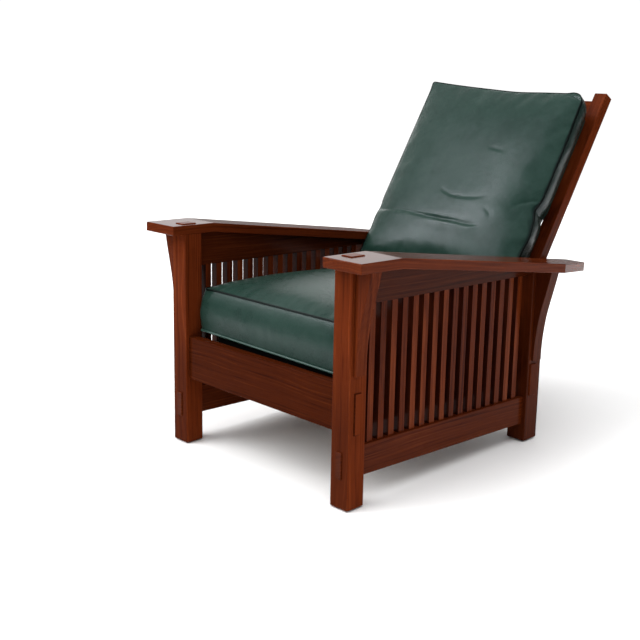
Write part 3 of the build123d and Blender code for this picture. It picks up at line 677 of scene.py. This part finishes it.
# creases pressed into the back cushion's front: points (x, s), half width, depth and how far the lower lip swells
FOLDS = [
    ([(-0.298, 0.372), (-0.255, 0.365), (-0.220, 0.364), (-0.159, 0.364), (-0.115, 0.360), (-0.065, 0.356), (-0.032, 0.355),
      (0.001, 0.353), (0.033, 0.353), (0.071, 0.350), (0.107, 0.349), (0.139, 0.355)],
     0.0048, (0.5, 0.7, 0.6, 0.7, 0.9, 1.2, 1.35, 1.3, 1.0, 0.8, 0.5, 0.0), 0.0048, 0.0030),
    ([(-0.050, 0.456), (-0.038, 0.443), (-0.006, 0.432), (0.032, 0.429), (0.079, 0.433), (0.122, 0.442)],
     0.0046, (0.0, 0.8, 1.0, 0.9, 0.6, 0.0), 0.0019, 0.0009),
    ([(0.208, 0.424), (0.220, 0.432), (0.232, 0.441), (0.257, 0.453), (0.281, 0.461)],
     0.0052, (0.0, 0.7, 1.0, 1.0, 0.7), 0.0034, 0.0016),
    ([(0.045, 0.601), (0.085, 0.593), (0.122, 0.588)], 0.0045, (0.0, 0.9, 0.0), 0.0012, 0.0006),
    ([(0.215, 0.800), (0.245, 0.794), (0.270, 0.783), (0.285, 0.768)], 0.0050, (0.0, 1.0, 0.8, 0.0), 0.0036, 0.0014),
    ([(0.120, 0.410), (0.150, 0.396), (0.165, 0.375)], 0.0055, (0.0, 0.6, 0.0), 0.0016, 0.0008),
]


def fold_depth(x, s):
    """Height that the creases add at places x, s on the front, given as arrays."""
    h = np.zeros(len(x))
    for pts, w, prof, depth, lip in FOLDS:
        best = np.full(len(x), 9.0)
        below = np.zeros(len(x), bool)
        p = np.zeros(len(x))
        for i in range(len(pts) - 1):
            (ax, ay), (bx, by) = pts[i], pts[i + 1]
            vx, vy = bx - ax, by - ay
            u = np.clip(((x - ax) * vx + (s - ay) * vy) / (vx * vx + vy * vy), 0, 1)
            d = np.hypot(x - (ax + u * vx), s - (ay + u * vy))
            near = d < best
            best[near] = d[near]
            below[near] = ((x - ax) * vy - (s - ay) * vx > 0)[near]
            p[near] = (prof[i] + u * (prof[i + 1] - prof[i]))[near]
        d = best
        # the lip below rises steeply out of the crease and fades slowly; the side above falls gently into it
        under = -depth * np.exp(-(d / (w * 0.75)) ** 2) + lip * np.exp(-((d - w * 1.6) / np.where(d > w * 1.6, 0.026, w)) ** 2)
        over = -depth * (0.55 * np.exp(-(d / w) ** 2) + 0.45 * np.exp(-(d / (w * 3.2)) ** 2))
        h += p * np.where(below, under, over)
    return h


step = 0.0075
seat, s_rows, s_ti, s_bi = boxed("seat_cushion_leather", SEAT_HX, SEAT_HY, (0.020, 0.020, 0.026, 0.026),
                                 round(2 * SEAT_HX / step), round(2 * SEAT_HY / step), 14, seat_shape)
back, b_rows, b_ti, b_bi = boxed("back_cushion_leather", BC_HX, BC_HS, (0.022, 0.024, 0.030, 0.010),
                                 round(2 * BC_HX / step), round(2 * BC_HS / step), 12, back_shape)

for o, rows, bi, press, cap in ((seat, s_rows, s_bi, 4.0, 0.005), (back, b_rows, b_bi, 4.0, 0.004)):
    pins = {i: 1.0 for i in rows[0] + rows[-1]}
    for row in rows[1:-1]:
        for i in row:
            pins[i] = 0.55
    for v in bi.values():
        pins[v] = 1.0
    inflate(o, pins, 20, press, cap, -0.003)

lines = {}
for nm, o, rows, k in (("seat_piping_bottom", seat, s_rows, 0), ("seat_piping_top", seat, s_rows, -1),
                       ("back_piping_rear", back, b_rows, 0), ("back_piping_front", back, b_rows, -1)):
    lines[nm] = [o.data.vertices[i].co.copy() for i in rows[k]]
finish_soft(seat)
finish_soft(back)
# the folds go in after the cloth has settled
fc = np.empty(len(back.data.vertices) * 3)
back.data.vertices.foreach_get("co", fc)
fc = fc.reshape(-1, 3)
fn = np.array([v.normal.z for v in back.data.vertices])
rim = np.minimum.reduce([np.array([right_edge(q) for q in fc[:, 1]]) - fc[:, 0], fc[:, 0] + 0.298, 0.800 - fc[:, 1], fc[:, 1] - BC_S0])
fade = np.clip((rim + 0.002) / 0.010, 0, 1) * (fn > 0.35) * (fc[:, 2] > 0.085)
fc[:, 2] += fold_depth(fc[:, 0], fc[:, 1]) * fade
back.data.vertices.foreach_set("co", fc.ravel())
back.data.update()
seat.data.materials.append(SEAT_LEATHER)
back.data.materials.append(LEATHER)
for v in back.data.vertices:
    v.co = to_back(v.co)
seat.data.transform(MS)
back.data.transform(MB)

PR = 0.0026
PR_SEAT = 0.0029
cords = []
for nm, pts in lines.items():
    owner = seat if nm.startswith("seat") else back
    r = PR_SEAT + (0.0004 if nm.endswith("bottom") else 0) if owner is seat else PR
    if nm == "back_piping_front":     # the welt stands out at the right, and lies flat along the top and the left
        r = [0.0012 + 0.0023 * ss(0.20, 0.27, p.x) * ss(0.795, 0.770, p.y) for p in pts]
    if owner is back:
        pts = [MB @ to_back(p) for p in pts]
    else:
        pts = [MS @ p for p in pts]
    c = tube(nm, pts, r, mat=PIPING[nm])
    cords.append((c, owner))

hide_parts("seat_cushion")
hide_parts("back_cushion")
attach(seat, "seat_cushion")
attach(back, "back_cushion")
for c, owner in cords:
    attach(c, "seat_cushion" if owner is seat else "back_cushion")
for o, owner in [(seat, seat), (back, back)] + cords:
    if owner is seat:
        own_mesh(o)
    else:
        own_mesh(o)

# ---- deck pad, black, under the seat cushion
pad_mat = woven("black_deck_cloth", (0.0035, 0.0035, 0.0038), 0.0025)
PAD_HX, PAD_HY = 0.254, 0.260


def pad_shape(kind, x, y, t):
    X, Y = x / PAD_HX, y / PAD_HY
    y += 0.288
    if kind == "top":
        return Vector((x, y, 0.0235 + 0.0025 * crown(X, Y)))
    if kind == "bottom":
        return Vector((x, y, 0.0005))
    return Vector((x, y, 0.0005 + t * 0.023)) + outward(X, Y) * 0.003 * math.sin(math.pi * t)


pad, _, _, _ = boxed("deck_pad_cloth", PAD_HX, PAD_HY, (0.012,) * 4, 24, 24, 4, pad_shape, 0.0)
finish_soft(pad)
pad.data.transform(Matrix.Translation((0, 0, -0.0278)))
pad.data.transform(MS)
pad.data.materials.append(pad_mat)
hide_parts("deck_pad")
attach(pad, "frame")

# ------------------------------------------------------------------ studio
w = bpy.data.worlds.new("studio")
sc.world = w
w.use_nodes = True
wt = w.node_tree
wt.nodes.clear()


def wn(kind, **kw):
    nd = wt.nodes.new(kind)
    for k, v in kw.items():
        setattr(nd, k, v)
    return nd


def wmath(op, a, b=0.0, clamp=False):
    nd = wn("ShaderNodeMath", operation=op, use_clamp=clamp)
    for s_, v in zip(nd.inputs, (a, b)):
        if isinstance(v, bpy.types.NodeSocket):
            wt.links.new(v, s_)
        else:
            s_.default_value = v
    return nd.outputs[0]


def wramp(v, a, b, c, d):
    nd = wn("ShaderNodeMapRange", interpolation_type="SMOOTHSTEP")
    wt.links.new(v, nd.inputs[0])
    for s_, q in zip(list(nd.inputs)[1:5], (a, b, c, d)):
        s_.default_value = q
    return nd.outputs[0]


# the room: a bright backdrop behind the chair above a dim skirting, a paler wall to the left, a dim room in front
wtc = wn("ShaderNodeTexCoord")
wxyz = wn("ShaderNodeSeparateXYZ")
wt.links.new(wtc.outputs["Generated"], wxyz.inputs[0])
dx, dy, dz = wxyz.outputs
behind = wmath("ADD", wmath("MULTIPLY", dx, -0.72), wmath("MULTIPLY", dy, 0.69))
ROOM, DROP, TOP = 0.22, 1.20, 0.34
hump = wmath("MULTIPLY", wramp(behind, 0.29, 0.47, 0.0, 0.74), wramp(behind, 0.52, 0.74, 1.0, 0.15))
side_k = wmath("ADD", hump, wramp(behind, 0.80, 0.95, 0.0, 1.0))
band = wmath("MULTIPLY", wramp(dz, -0.06, 0.10, 0.0, 1.0), wramp(dz, 0.50, 0.90, 1.0, 0.25))
lum = wmath("ADD", wmath("MULTIPLY", wmath("MULTIPLY", band, side_k), DROP), wmath("ADD", wmath("MULTIPLY", wramp(dz, 0.0, 0.15, 0.2, 1.0), ROOM), wmath("MULTIPLY", wramp(dz, 0.3, 1.0, 0.0, 1.0), TOP)))
room = wn("ShaderNodeBackground")
room.inputs[0].default_value = (1, 1, 1, 1)
wt.links.new(lum, room.inputs[1])
white = wn("ShaderNodeBackground")
white.inputs[0].default_value = (1, 1, 1, 1)
white.inputs[1].default_value = 1.05
lp = wn("ShaderNodeLightPath")
wmix = wn("ShaderNodeMixShader")
wout = wn("ShaderNodeOutputWorld")
wt.links.new(lp.outputs["Is Camera Ray"], wmix.inputs[0])
wt.links.new(room.outputs[0], wmix.inputs[1])
wt.links.new(white.outputs[0], wmix.inputs[2])
wt.links.new(wmix.outputs[0], wout.inputs[0])


def sun(name, toward, angle, power, col=(1, 1, 1)):
    """A very large, far soft box; toward points from the chair to it."""
    L = bpy.data.lights.new(name, "SUN")
    L.energy = power
    L.angle = math.radians(angle)
    L.color = col
    o = bpy.data.objects.new(name, L)
    sc.collection.objects.link(o)
    o.rotation_euler = Vector(toward).to_track_quat("Z", "Y").to_euler()
    o.visible_glossy = False   # gloss comes from the room and its soft box
    return o


sun("key", (-0.42, -0.64, 0.64), 50, 2.7)
sun("fill", (1.0, 0.25, 0.45), 80, 0.40)
sun("overhead", (0.15, -0.1, 1.0), 60, 1.9)

# a tall, narrow soft box far in front and to the left, for the gloss alone
L = bpy.data.lights.new("strip", "AREA")
L.shape = "RECTANGLE"
L.size, L.size_y = 0.28, 3.4
L.energy = 190
strip = bpy.data.objects.new("strip", L)
sc.collection.objects.link(strip)
toward = Vector((-0.731 * math.cos(math.radians(34)), -0.682 * math.cos(math.radians(34)), math.sin(math.radians(34))))
strip.location = Vector((0, 0.0, 0.75)) + 6.0 * toward
strip.rotation_euler = toward.to_track_quat("Z", "Y").to_euler()
strip.visible_diffuse = False
strip.visible_camera = False

me = bpy.data.meshes.new("floor")
R_FLOOR = 4.5
me.from_pydata([(R_FLOOR * math.cos(a * math.pi / 48), R_FLOOR * math.sin(a * math.pi / 48), 0) for a in range(96)], [], [tuple(range(96))])
floor = bpy.data.objects.new("floor", me)
sc.collection.objects.link(floor)
fm = Nodes("pale_floor")
tcf = fm.n("ShaderNodeTexCoord")
fm.put(fm.bsdf.inputs["Base Color"], fm.ramp(fm.noise(tcf.outputs["Object"], 2.0), [(0.3, (0.93, 0.93, 0.93)), (0.7, (0.95, 0.95, 0.95))]))
fm.bsdf.inputs["Roughness"].default_value = 0.9
fm.bsdf.inputs["Specular IOR Level"].default_value = 0.1
me.materials.append(fm.mat)

# ------------------------------------------------------------------ camera
cam = bpy.data.cameras.new("camera")
cam.sensor_fit = "HORIZONTAL"
cam.sensor_width = 36.0
cam.lens = 1098.95 / 640 * 36
cam.clip_end = 100
co = bpy.data.objects.new("camera", cam)
sc.collection.objects.link(co)
az, el, roll = math.radians(47.51), math.radians(14.37), math.radians(-0.54)
fw = Vector((-math.sin(az) * math.cos(el), math.cos(az) * math.cos(el), -math.sin(el)))
right = Vector((math.cos(az), math.sin(az), 0))
up = right.cross(fw)
Rr = math.cos(roll) * right + math.sin(roll) * up
Ur = -math.sin(roll) * right + math.cos(roll) * up
M = Matrix((Rr, Ur, -fw)).transposed().to_4x4()
M.translation = Vector((2.1037, -1.6843 + SHIFT, 1.0976 + 0.003))
co.matrix_world = M
sc.camera = co
sc.view_settings.view_transform = "Standard"
sc.view_settings.look = "None"
